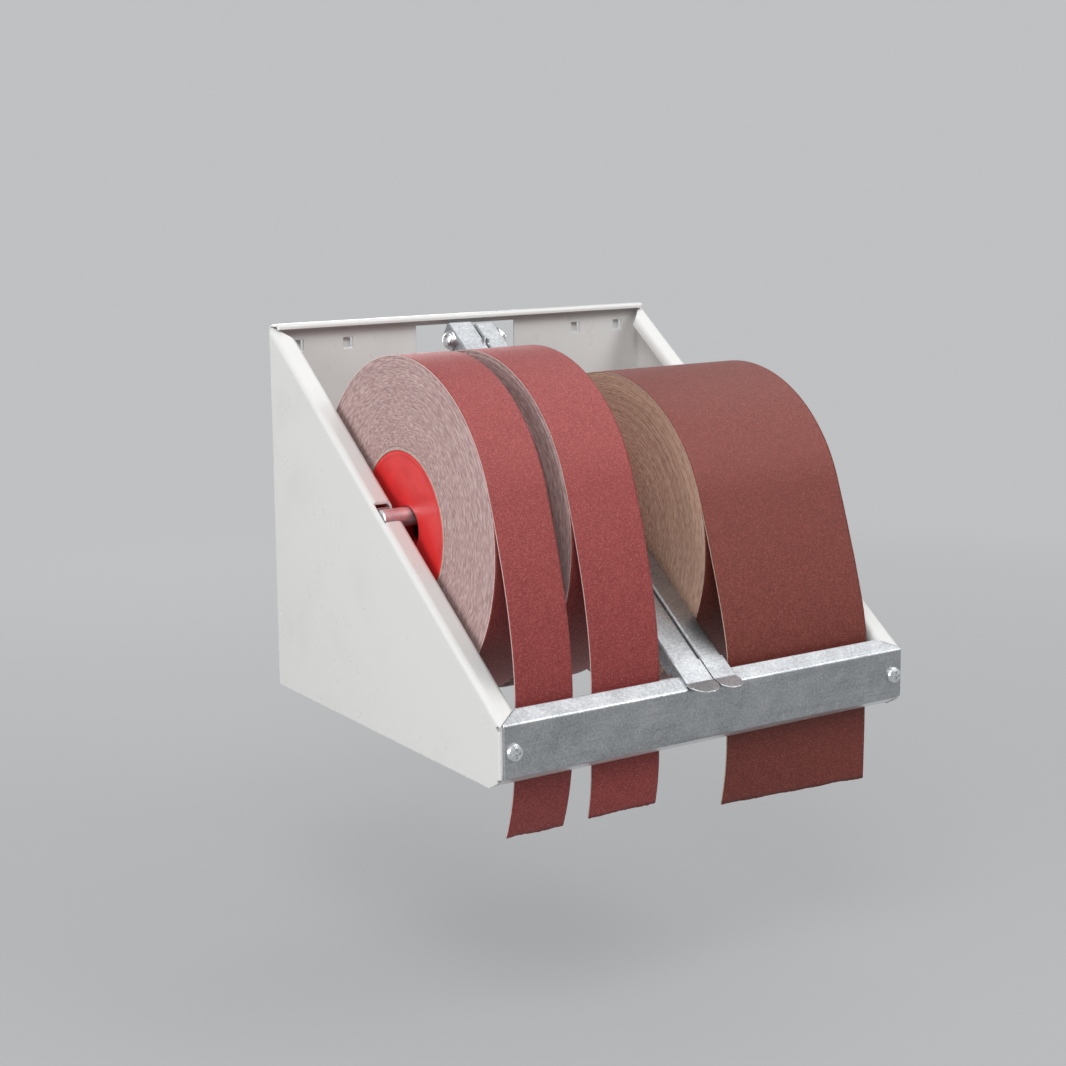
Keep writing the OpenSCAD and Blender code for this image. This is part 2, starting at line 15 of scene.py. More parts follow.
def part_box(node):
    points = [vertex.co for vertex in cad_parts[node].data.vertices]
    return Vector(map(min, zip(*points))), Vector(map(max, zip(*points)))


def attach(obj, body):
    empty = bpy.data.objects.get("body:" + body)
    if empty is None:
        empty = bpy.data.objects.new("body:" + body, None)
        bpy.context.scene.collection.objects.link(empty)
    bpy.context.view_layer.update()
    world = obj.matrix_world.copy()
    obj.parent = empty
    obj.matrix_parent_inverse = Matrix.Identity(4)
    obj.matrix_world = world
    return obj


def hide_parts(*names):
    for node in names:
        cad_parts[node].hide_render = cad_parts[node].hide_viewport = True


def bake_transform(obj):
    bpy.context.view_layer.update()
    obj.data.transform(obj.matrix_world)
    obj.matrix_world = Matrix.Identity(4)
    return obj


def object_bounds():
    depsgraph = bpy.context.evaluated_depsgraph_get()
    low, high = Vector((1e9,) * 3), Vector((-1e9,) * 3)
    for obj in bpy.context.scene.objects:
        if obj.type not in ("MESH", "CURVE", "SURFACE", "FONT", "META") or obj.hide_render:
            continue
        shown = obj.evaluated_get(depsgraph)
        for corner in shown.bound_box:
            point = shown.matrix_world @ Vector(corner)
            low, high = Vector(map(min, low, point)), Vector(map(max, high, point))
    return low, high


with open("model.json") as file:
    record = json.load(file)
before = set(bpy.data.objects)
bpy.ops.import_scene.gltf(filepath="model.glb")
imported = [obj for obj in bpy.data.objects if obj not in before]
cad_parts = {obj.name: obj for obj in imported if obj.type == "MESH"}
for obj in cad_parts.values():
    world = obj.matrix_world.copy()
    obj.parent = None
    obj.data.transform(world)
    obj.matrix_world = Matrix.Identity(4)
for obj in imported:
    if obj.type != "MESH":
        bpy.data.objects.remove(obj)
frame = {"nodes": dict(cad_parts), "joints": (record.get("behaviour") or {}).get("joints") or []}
CAD_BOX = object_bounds()

log = logging.getLogger("roll_holder")
MM = 0.001
EDGE_SAMPLES = 6
ROLL_SEED = 40

Colour = tuple[float, float, float]
Point = tuple[float, float, float]
Span = tuple[float, float]
Path = list[tuple[float, float]]
Row = list[bmesh.types.BMVert]
FlatMap = dict[bmesh.types.BMVert, tuple[float, float]]
Socket = bpy.types.NodeSocket

# Where most values of a cloud pattern lie
CLOUD_SPAN: Span = (0.3, 0.7)
# How far a rounded edge's normal still agrees with the flat face's, from its rim to its middle
EDGE_SPAN: Span = (0.99, 0.8)


def rgba(colour: Colour) -> tuple[float, float, float, float]:
    """Give a colour its opaque alpha."""
    return (*colour, 1.0)


class NodeSheet:
    """A node tree with short calls that place and join nodes."""

    def __init__(self, tree: bpy.types.NodeTree) -> None:
        """Keep the tree that the nodes go into."""
        self.tree = tree

    def add(self, kind: str, feeds: dict[str, object] | None = None, **settings: object) -> bpy.types.Node:
        """Place a node, set its properties and feed its inputs.

        Args:
            kind: Blender's name of the node type.
            feeds: A value or an output socket for each input, by the input's name.
            **settings: The node's properties.

        Returns:
            The new node.
        """
        node = self.tree.nodes.new(kind)
        for key, value in settings.items():
            setattr(node, key, value)
        for name, value in (feeds or {}).items():
            self.join(value, node.inputs[name])
        return node

    def join(self, value: object, socket: Socket) -> None:
        """Feed an input with another node's output, or with a plain value."""
        if isinstance(value, bpy.types.NodeSocket):
            self.tree.links.new(value, socket)
        else:
            socket.default_value = value

    def math(self, operation: str, first: object, second: object = 0.0) -> Socket:
        """Work out one number from two.

        Args:
            operation: The math node's operation.
            first: Its first value or socket.
            second: Its second value or socket.

        Returns:
            The result's socket.
        """
        node = self.add("ShaderNodeMath", operation=operation)
        self.join(first, node.inputs[0])
        self.join(second, node.inputs[1])
        return node.outputs[0]

    def scaled(self, vector: Socket, factors: object) -> Socket:
        """Multiply a vector's parts.

        Args:
            vector: The vector's socket.
            factors: One factor for each part, as a tuple or a socket.

        Returns:
            The scaled vector's socket.
        """
        node = self.add("ShaderNodeVectorMath", operation="MULTIPLY")
        self.join(vector, node.inputs[0])
        self.join(factors, node.inputs[1])
        return node.outputs[0]

    def remap(self, value: Socket, span: tuple[object, object], to: Span = (0.0, 1.0)) -> Socket:
        """Stretch a value from one range to another, and hold it there.

        Args:
            value: The value's socket.
            span: Where the first range starts and ends, as numbers or sockets.
            to: What the start and the end become.

        Returns:
            The new value's socket.
        """
        feeds = {"Value": value, "From Min": span[0], "From Max": span[1], "To Min": to[0], "To Max": to[1]}
        return self.add("ShaderNodeMapRange", feeds).outputs["Result"]

    def mix(self, share: object, first: object, second: object) -> Socket:
        """Mix two colours.

        Args:
            share: How much of the second colour shows, from 0 to 1.
            first: A colour or a colour socket.
            second: A colour or a colour socket.

        Returns:
            The mixed colour's socket.
        """
        node = self.add("ShaderNodeMix", data_type="RGBA")
        colours = [socket for socket in node.inputs if socket.type == "RGBA"]
        self.join(share, node.inputs["Factor"])
        for value, socket in zip((first, second), colours):
            self.join(rgba(value) if isinstance(value, tuple) else value, socket)
        return next(socket for socket in node.outputs if socket.type == "RGBA")

    def cloud(self, vector: Socket, scale: object, detail: float = 3.0, roughness: float = 0.55) -> Socket:
        """Make a cloud pattern.

        Args:
            vector: Where on the surface, in metres.
            scale: Blobs per metre, as a number or a socket.
            detail: Octaves of finer pattern.
            roughness: Strength of the finer pattern.

        Returns:
            The pattern's socket, about 0.5 on average.
        """
        feeds = {"Vector": vector, "Scale": scale, "Detail": detail, "Roughness": roughness}
        return self.add("ShaderNodeTexNoise", feeds).outputs["Fac"]


class EffectGroup(NodeSheet):
    """A shader node group for an effect that several finishes share."""

    def __init__(self, name: str, inputs: dict[str, float], outputs: tuple[str, ...]) -> None:
        """Make the group's sockets.

        Args:
            name: The effect's name.
            inputs: Default of each number that the effect takes beside its vector.
            outputs: Names of the values that it puts out.
        """
        super().__init__(bpy.data.node_groups.new(name, "ShaderNodeTree"))
        self.tree.interface.new_socket(name="Vector", in_out="INPUT", socket_type="NodeSocketVector")
        for label, default in inputs.items():
            socket = self.tree.interface.new_socket(name=label, in_out="INPUT", socket_type="NodeSocketFloat")
            socket.default_value = default
        for label in outputs:
            self.tree.interface.new_socket(name=label, in_out="OUTPUT", socket_type="NodeSocketFloat")
        self.taken = self.add("NodeGroupInput").outputs
        self.given = self.add("NodeGroupOutput").inputs


class Effects:
    """The shared effects, built once: grit, mottle, streaks and rings."""

    grain_reach: float = 0.7
    lowest_grain: float = 0.3

    def __init__(self) -> None:
        """Build each effect's node group."""
        self.grit = self.make_grit()
        self.mottle = self.make_mottle()
        self.streaks = self.make_streaks()
        self.rings = self.make_rings()

    def make_grit(self) -> bpy.types.NodeTree:
        """Build grains that each have a tone of their own and a rounded height."""
        group = EffectGroup("grit", {"Scale": 1800.0}, ("Tone", "Height"))
        feeds = {"Vector": group.taken["Vector"], "Scale": group.taken["Scale"], "Randomness": 1.0}
        cells = group.add("ShaderNodeTexVoronoi", feeds, feature="F1")
        tone = group.add("ShaderNodeSeparateColor", {"Color": cells.outputs["Color"]}).outputs["Red"]
        group.join(tone, group.given["Tone"])
        dome = group.remap(cells.outputs["Distance"], (0.0, self.grain_reach), (1.0, 0.0))
        peak = group.math("ADD", tone, self.lowest_grain)
        group.join(group.math("MULTIPLY", dome, peak), group.given["Height"])
        return group.tree

    def make_mottle(self) -> bpy.types.NodeTree:
        """Build soft uneven patches with a chosen contrast."""
        group = EffectGroup("mottle", {"Scale": 20.0, "Low": 0.35, "High": 0.65}, ("Value",))
        cloud = group.cloud(group.taken["Vector"], group.taken["Scale"], detail=5.0, roughness=0.6)
        span = (group.taken["Low"], group.taken["High"])
        group.join(group.remap(cloud, span), group.given["Value"])
        return group.tree

    def make_streaks(self) -> bpy.types.NodeTree:
        """Build the fine lines that rolling leaves along a sheet's length."""
        group = EffectGroup("streaks", {"Along": 8.0, "Across": 500.0}, ("Value",))
        factors = {"X": group.taken["Along"], "Y": group.taken["Across"], "Z": group.taken["Across"]}
        place = group.scaled(group.taken["Vector"], group.add("ShaderNodeCombineXYZ", factors).outputs[0])
        group.join(group.cloud(place, 1.0, roughness=0.6), group.given["Value"])
        return group.tree

    def make_rings(self) -> bpy.types.NodeTree:
        """Build broken concentric lines round an axis along X, and the distance from that axis."""
        inputs = {"Axis Y": 0.0, "Axis Z": 0.0, "Pitch": 900.0, "Run": 3.0}
        group = EffectGroup("rings", inputs, ("Value", "Radius"))
        parts = group.add("ShaderNodeSeparateXYZ", {"Vector": group.taken["Vector"]}).outputs
        off_y = group.math("SUBTRACT", parts["Y"], group.taken["Axis Y"])
        off_z = group.math("SUBTRACT", parts["Z"], group.taken["Axis Z"])
        square_y = group.math("MULTIPLY", off_y, off_y)
        square_z = group.math("MULTIPLY", off_z, off_z)
        radius = group.math("SQRT", group.math("ADD", square_y, square_z))
        unit_y = group.math("MULTIPLY", group.math("DIVIDE", off_y, radius), group.taken["Run"])
        unit_z = group.math("MULTIPLY", group.math("DIVIDE", off_z, radius), group.taken["Run"])
        around = {"X": group.math("MULTIPLY", radius, group.taken["Pitch"]), "Y": unit_y, "Z": unit_z}
        place = group.add("ShaderNodeCombineXYZ", around).outputs[0]
        group.join(group.cloud(place, 1.0, detail=2.0, roughness=0.5), group.given["Value"])
        group.join(radius, group.given["Radius"])
        return group.tree


@dataclass(frozen=True)
class Relief:
    """How a height pattern raises a surface's shading: how strongly, and how deep in metres."""

    strength: float
    depth: float


class FinishSheet(NodeSheet):
    """The node tree of one finish, round its Principled BSDF."""

    def __init__(self, name: str, mapped: bool = False) -> None:
        """Start the finish.

        Args:
            name: The finish's name.
            mapped: Whether patterns follow the piece's own UV map instead of its place.
        """
        self.material = bpy.data.materials.new(name)
        self.material.use_nodes = True
        super().__init__(self.material.node_tree)
        self.shader = self.tree.nodes["Principled BSDF"]
        self.place = self.add("ShaderNodeTexCoord").outputs["UV" if mapped else "Object"]
        self.rounded: Socket | None = None

    def effect(self, group: bpy.types.NodeTree, output: str, **values: float) -> Socket:
        """Place a shared effect with its own values.

        Args:
            group: The effect's node group.
            output: Which of its outputs is wanted.
            **values: Its numbers, with _ for a space in a name.

        Returns:
            The output's socket.
        """
        node = self.add("ShaderNodeGroup", node_tree=group)
        self.join(self.place, node.inputs["Vector"])
        for label, value in values.items():
            node.inputs[label.replace("_", " ")].default_value = value
        return node.outputs[output]

    def bump(self, height: Socket, relief: Relief) -> None:
        """Raise the surface's shading by a height pattern.

        Args:
            height: The pattern, from 0 to 1.
            relief: How strongly and how deep it shows.
        """
        feeds = {"Height": height, "Strength": relief.strength, "Distance": relief.depth}
        raised = self.add("ShaderNodeBump", feeds)
        if self.rounded is not None:
            self.join(self.rounded, raised.inputs["Normal"])
        self.join(raised.outputs["Normal"], self.shader.inputs["Normal"])

    def round_edges(self, radius: float) -> Socket:
        """Shade sharp edges as rounded ones, for every bump made after this.

        Args:
            radius: The rounding's radius in metres.

        Returns:
            How much a place belongs to a rounded edge, from 0 to 1.
        """
        self.rounded = self.add("ShaderNodeBevel", {"Radius": radius}, samples=EDGE_SAMPLES).outputs["Normal"]
        flat = self.add("ShaderNodeNewGeometry").outputs["Normal"]
        likeness = self.add("ShaderNodeVectorMath", operation="DOT_PRODUCT")
        self.join(self.rounded, likeness.inputs[0])
        self.join(flat, likeness.inputs[1])
        return self.remap(likeness.outputs["Value"], EDGE_SPAN)

    def settle(self, **values: object) -> bpy.types.Material:
        """Feed the shader's own inputs.

        Args:
            **values: A value or socket for each input, with _ for a space in a name.

        Returns:
            The finished material.
        """
        for label, value in values.items():
            self.join(value, self.shader.inputs[label.replace("_", " ")])
        return self.material


@dataclass(frozen=True)
class PaintFinish:
    """Semi-gloss light grey powder coat with a fine orange peel."""

    colour: Colour = (0.705, 0.703, 0.69)
    soiled: Colour = (0.64, 0.637, 0.62)
    rough: Span = (0.26, 0.4)
    rough_per_m: float = 60.0
    peel: Relief = Relief(0.12, 0.2*MM)
    peel_per_m: float = 900.0
    edge_r: float = 0.6*MM

    def dress(self, effects: Effects) -> bpy.types.Material:
        """Make the paint's material.

        Args:
            effects: The shared effects.

        Returns:
            The material.
        """
        sheet = FinishSheet("light_grey_paint")
        soil = sheet.effect(effects.mottle, "Value", Scale=14.0, Low=0.52, High=0.8)
        rough = sheet.remap(sheet.cloud(sheet.place, self.rough_per_m), CLOUD_SPAN, self.rough)
        sheet.round_edges(self.edge_r)
        sheet.bump(sheet.cloud(sheet.place, self.peel_per_m, detail=2.0), self.peel)
        return sheet.settle(Base_Color=sheet.mix(soil, self.colour, self.soiled), Roughness=rough)


@dataclass(frozen=True)
class ZincFinish:
    """Galvanised sheet with spangles, grains and streaks; its sharp edges are painted lighter, partly as wear
    and partly as a painted highlight, and below a height it is painted lighter as a painted reflection.
    """

    name: str
    # Below this height the colour is painted lighter: a painted reflection
    sheen_below: float
    sheen_fade: float = 1.5*MM
    dark: Colour = (0.22, 0.23, 0.245)
    light: Colour = (0.58, 0.59, 0.605)
    # Lighter colour of the edges (partly wear, partly painted highlight) and of the painted reflection below
    # a height
    wear_and_highlight: Colour = (0.8, 0.81, 0.82)
    spangle_per_m: float = 160.0
    spangle_share: float = 0.14
    patch_share: float = 0.34
    streak_share: float = 0.16
    grain_per_m: float = 700.0
    grain_span: Span = (0.34, 0.66)
    grain_share: float = 0.4
    rough: Span = (0.46, 0.34)
    streak_relief: Relief = Relief(0.1, 0.1*MM)
    edge_r: float = 0.7*MM

    def dress(self, effects: Effects) -> bpy.types.Material:
        """Make the galvanised sheet's material.

        Args:
            effects: The shared effects.

        Returns:
            The material.
        """
        sheet = FinishSheet(self.name)
        spangle = sheet.effect(effects.grit, "Tone", Scale=self.spangle_per_m)
        streaks = sheet.effect(effects.streaks, "Value", Along=14.0, Across=420.0)
        patches = sheet.effect(effects.mottle, "Value", Scale=38.0, Low=0.3, High=0.7)
        grains = sheet.cloud(sheet.place, self.grain_per_m, detail=2.0)
        tone = sheet.math("MULTIPLY", spangle, self.spangle_share)
        for part in (
            sheet.math("MULTIPLY", patches, self.patch_share),
            sheet.remap(streaks, CLOUD_SPAN, (0.0, self.streak_share)),
            sheet.remap(grains, self.grain_span, (0.0, self.grain_share)),
        ):
            tone = sheet.math("ADD", tone, part)
        rough = sheet.remap(patches, (0.0, 1.0), self.rough)
        # Share of the sharp edges, painted lighter below: partly wear, partly a painted highlight
        edge = sheet.round_edges(self.edge_r)
        sheet.bump(streaks, self.streak_relief)
        # Painted reflection: below the given height the colour fades to the lighter one
        height = sheet.add("ShaderNodeSeparateXYZ", {"Vector": sheet.place}).outputs["Z"]
        lip = sheet.remap(height, (self.sheen_below, self.sheen_below - self.sheen_fade))
        wear_and_light_share = sheet.math("MAXIMUM", edge, lip)
        # worn: the zinc's tone with the edge wear, painted highlight and painted reflection mixed in
        worn = sheet.mix(wear_and_light_share, sheet.mix(tone, self.dark, self.light), self.wear_and_highlight)
        return sheet.settle(Base_Color=worn, Roughness=rough, Metallic=1.0)


@dataclass(frozen=True)
class PlatedFinish:
    """Zinc-plated steel of the rod and the fasteners, lightly scuffed."""

    name: str
    rough: Span
    dark: Colour = (0.6, 0.61, 0.63)
    light: Colour = (0.86, 0.87, 0.88)
    scuff_relief: Relief = Relief(0.08, 0.05*MM)

    def dress(self, effects: Effects) -> bpy.types.Material:
        """Make the plated steel's material.

        Args:
            effects: The shared effects.

        Returns:
            The material.
        """
        sheet = FinishSheet(self.name)
        scuffs = sheet.effect(effects.streaks, "Value", Along=90.0, Across=900.0)
        patches = sheet.effect(effects.mottle, "Value", Scale=120.0, Low=0.35, High=0.65)
        rough = sheet.remap(scuffs, CLOUD_SPAN, self.rough)
        sheet.bump(scuffs, self.scuff_relief)
        colour = sheet.mix(patches, self.dark, self.light)
        return sheet.settle(Base_Color=colour, Roughness=rough, Metallic=1.0)


@dataclass(frozen=True)
class HubFinish:
    """Moulded red plastic with faint turned rings."""

    axis_y: float
    axis_z: float
    colour: Colour = (0.70, 0.03, 0.03)
    worn: Colour = (0.56, 0.025, 0.028)
    rough: Span = (0.3, 0.45)
    ring_relief: Relief = Relief(0.25, 0.15*MM)

    def dress(self, effects: Effects) -> bpy.types.Material:
        """Make the plastic's material.

        Args:
            effects: The shared effects.

        Returns:
            The material.
        """
        sheet = FinishSheet("hub_red_plastic")
        axis = {"Axis_Y": self.axis_y, "Axis_Z": self.axis_z}
        rings = sheet.effect(effects.rings, "Value", Pitch=420.0, Run=0.4, **axis)
        wear = sheet.effect(effects.mottle, "Value", Scale=45.0, Low=0.45, High=0.75)
        rough = sheet.remap(wear, (0.0, 1.0), self.rough)
        sheet.bump(rings, self.ring_relief)
        return sheet.settle(Base_Color=sheet.mix(wear, self.colour, self.worn), Roughness=rough)


@dataclass(frozen=True)
class CardFinish:
    """Grey-brown wound cardboard of a core."""

    dark: Colour = (0.34, 0.255, 0.215)
    light: Colour = (0.54, 0.44, 0.39)
    rough: float = 0.9
    fibre_relief: Relief = Relief(0.3, 0.2*MM)

    def dress(self, effects: Effects) -> bpy.types.Material:
        """Make the cardboard's material.

        Args:
            effects: The shared effects.

        Returns:
            The material.
        """
        sheet = FinishSheet("core_card")
        fibre = sheet.effect(effects.mottle, "Value", Scale=420.0, Low=0.3, High=0.7)
        sheet.bump(fibre, self.fibre_relief)
        return sheet.settle(Base_Color=sheet.mix(fibre, self.dark, self.light), Roughness=self.rough)


@dataclass(frozen=True)
class AbrasiveFinish:
    """Grit side of the paper: grains of three tones over a slightly uneven ground."""

    name: str
    dark: Colour
    middle: Colour
    light: Colour
    glint: Colour = (1.0, 0.5, 0.46)
    gloss: float = 0.7
    grain_per_m: float = 1700.0
    grain_relief: Relief = Relief(0.5, 0.25*MM)
    patch_share: float = 0.35
    dark_grains: Span = (0.45, 0.0)
    dark_share: float = 0.8
    light_grains: Span = (0.6, 1.0)
    light_share: float = 0.75
    shiny_grains: Span = (0.8, 1.0)
    rough: Span = (0.5, 0.4)

    def dress(self, effects: Effects) -> bpy.types.Material:
        """Make the grit's material on the strip's own map.

        Args:
            effects: The shared effects.

        Returns:
            The material.
        """
        sheet = FinishSheet(self.name, mapped=True)
        tone = sheet.effect(effects.grit, "Tone", Scale=self.grain_per_m)
        height = sheet.effect(effects.grit, "Height", Scale=self.grain_per_m)
        patches = sheet.effect(effects.mottle, "Value", Scale=60.0, Low=0.3, High=0.7)
        stain = sheet.remap(patches, (0.0, 1.0), (0.0, self.patch_share))
        ground = sheet.mix(stain, self.middle, self.dark)
        dark = sheet.remap(tone, self.dark_grains, (0.0, self.dark_share))
        light = sheet.remap(tone, self.light_grains, (0.0, self.light_share))
        grains = sheet.mix(light, sheet.mix(dark, ground, self.dark), self.light)
        rough = sheet.remap(tone, self.shiny_grains, self.rough)
        sheet.bump(height, self.grain_relief)
        sheen = {"Specular_IOR_Level": self.gloss, "Specular_Tint": rgba(self.glint)}
        return sheet.settle(Base_Color=grains, Roughness=rough, **sheen)


@dataclass(frozen=True)
class BackingFinish:
    """Plain paper of the strip's back and cut edges, with faint fibres."""

    name: str
    dark: Colour
    light: Colour
    rough: float = 0.85
    fibre_relief: Relief = Relief(0.25, 0.15*MM)

    def dress(self, effects: Effects) -> bpy.types.Material:
        """Make the paper's material on the strip's own map.

        Args:
            effects: The shared effects.

        Returns:
            The material.
        """
        sheet = FinishSheet(self.name, mapped=True)
        fibre = sheet.effect(effects.mottle, "Value", Scale=700.0, Low=0.3, High=0.7)
        sheet.bump(fibre, self.fibre_relief)
        return sheet.settle(Base_Color=sheet.mix(fibre, self.dark, self.light), Roughness=self.rough)


@dataclass(frozen=True)
class SideTones:
    """Colours of a wound side, and how strongly its turns show."""

    dark: Colour
    middle: Colour
    light: Colour
    inner: Colour
    contrast: float


@dataclass(frozen=True)
class WoundSideFinish:
    """Side of a wound roll: the pale cut edges of its turns as broken fine rings."""

    name: str
    axis_y: float
    axis_z: float
    inner_r: float
    outer_r: float
    tones: SideTones
    turn_span: Span = (0.34, 0.66)
    band_span: Span = (0.65, 0.35)
    band_share: float = 0.22
    speck_share: float = 0.15
    rough: float = 0.88
    turn_relief: Relief = Relief(0.25, 0.2*MM)

    def dress(self, effects: Effects) -> bpy.types.Material:
        """Make the wound side's material.

        Args:
            effects: The shared effects.

        Returns:
            The material.
        """
        sheet = FinishSheet(self.name)
        axis = {"Axis_Y": self.axis_y, "Axis_Z": self.axis_z}
        turns = sheet.effect(effects.rings, "Value", Pitch=1200.0, Run=18.0, **axis)
        bands = sheet.effect(effects.rings, "Value", Pitch=620.0, Run=1.6, **axis)
        radius = sheet.effect(effects.rings, "Radius", **axis)
        specks = sheet.effect(effects.mottle, "Value", Scale=900.0, Low=0.3, High=0.7)
        tones = self.tones
        colour = sheet.mix(sheet.remap(radius, (self.inner_r, self.outer_r)), tones.inner, tones.middle)
        lines = sheet.remap(turns, self.turn_span, (-tones.contrast, tones.contrast))
        for share, over in (
            (sheet.remap(lines, (0.0, -1.0)), tones.dark),
            (sheet.remap(lines, (0.0, 1.0)), tones.light),
            (sheet.remap(bands, self.band_span, (0.0, self.band_share)), tones.dark),
            (sheet.remap(specks, (1.0, 0.0), (0.0, self.speck_share)), tones.dark),
        ):
            colour = sheet.mix(share, colour, over)
        sheet.bump(turns, self.turn_relief)
        return sheet.settle(Base_Color=colour, Roughness=self.rough)


class Grit(Enum):
    """The two sorts of paper on the axle."""

    RED = "abrasive_red"
    BROWN = "abrasive_brown"


@dataclass(frozen=True)
class PaperSort:
    """Finishes of one sort of abrasive paper."""

    face: AbrasiveFinish
    back: BackingFinish
    edge: BackingFinish
    side: SideTones


PAPERS = {
    Grit.RED: PaperSort(
        AbrasiveFinish("red_grit", (0.17, 0.026, 0.027), (0.275, 0.047, 0.047), (0.41, 0.105, 0.095)),
        BackingFinish("red_paper_back", (0.2, 0.1, 0.09), (0.34, 0.2, 0.18)),
        BackingFinish("red_paper_edge", (0.46, 0.32, 0.3), (0.76, 0.62, 0.58)),
        SideTones(
            dark=(0.24, 0.145, 0.14), middle=(0.46, 0.315, 0.305), light=(0.66, 0.52, 0.5),
            inner=(0.44, 0.29, 0.28), contrast=0.62,
        ),
    ),
    Grit.BROWN: PaperSort(
        AbrasiveFinish("brown_grit", (0.095, 0.018, 0.014), (0.155, 0.031, 0.024), (0.27, 0.075, 0.055)),
        BackingFinish("brown_paper_back", (0.24, 0.15, 0.1), (0.4, 0.28, 0.2)),
        BackingFinish("brown_paper_edge", (0.42, 0.29, 0.22), (0.72, 0.58, 0.48)),
        SideTones(
            dark=(0.28, 0.165, 0.115), middle=(0.7, 0.46, 0.345), light=(0.8, 0.6, 0.48),
            inner=(0.46, 0.29, 0.215), contrast=0.5,
        ),
    ),
}


def show_piece(name: str, mesh: bmesh.types.BMesh, finishes: list[bpy.types.Material]) -> bpy.types.Object:
    """Turn a finished bmesh into an object of the scene, and log it.

    Args:
        name: The piece's name.
        mesh: The finished mesh, which is freed.
        finishes: Its materials in the order of its faces' numbers.

    Returns:
        The object, at the origin.
    """
    data = bpy.data.meshes.new(name)
    mesh.to_mesh(data)
    mesh.free()
    for finish in finishes:
        data.materials.append(finish)
    piece = bpy.data.objects.new(name, data)
    bpy.context.scene.collection.objects.link(piece)
    log.info("piece %s: %d vertices", name, len(data.vertices))
    return piece


def put_on(node: str, finish: bpy.types.Material) -> None:
    """Give a carried-over node its finish, and log it.

    Args:
        node: The node's name.
        finish: Its material.
    """
    materials = frame["nodes"][node].data.materials
    materials.clear()
    materials.append(finish)
    log.info("finish %s on %s", finish.name, node)


@dataclass
class MetalWork:
    """The carried-over sheet-metal and fastener nodes, and the finish that each gets."""

    paint: tuple[str, ...] = ("folded_body",)
    zinc: tuple[str, ...] = (
        "axle_cradle_left", "axle_cradle_right", "rail_left", "rail_right", "rail_spacer_tube",
    )
    bar: tuple[str, ...] = ("tear_bar",)
    fasteners: tuple[str, ...] = (
        "tear_bar_screws", "tear_bar_nuts", "rail_cross_screw", "rail_cross_washers", "rail_cross_nut",
    )
    rod: tuple[str, ...] = ("axle_rod",)
    bar_lip_h: float = 6.8*MM

    def dress(self, effects: Effects) -> None:
        """Dress every one of these nodes.

        Args:
            effects: The shared effects.
        """
        # The tear bar is painted lighter below lip_top as a painted reflection on its lower lip; the other
        # zinc takes the lowest point of all, so it gets none
        lip_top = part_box("tear_bar")[0].z + self.bar_lip_h
        for nodes, finish in (
            (self.paint, PaintFinish().dress(effects)),
            (self.zinc, ZincFinish("galvanised_sheet", CAD_BOX[0].z).dress(effects)),
            (self.bar, ZincFinish("tear_bar_zinc", lip_top).dress(effects)),
            (self.fasteners, PlatedFinish("bright_zinc", (0.2, 0.36)).dress(effects)),
            (self.rod, PlatedFinish("dull_zinc", (0.42, 0.55)).dress(effects)),
        ):
            for node in nodes:
                put_on(node, finish)


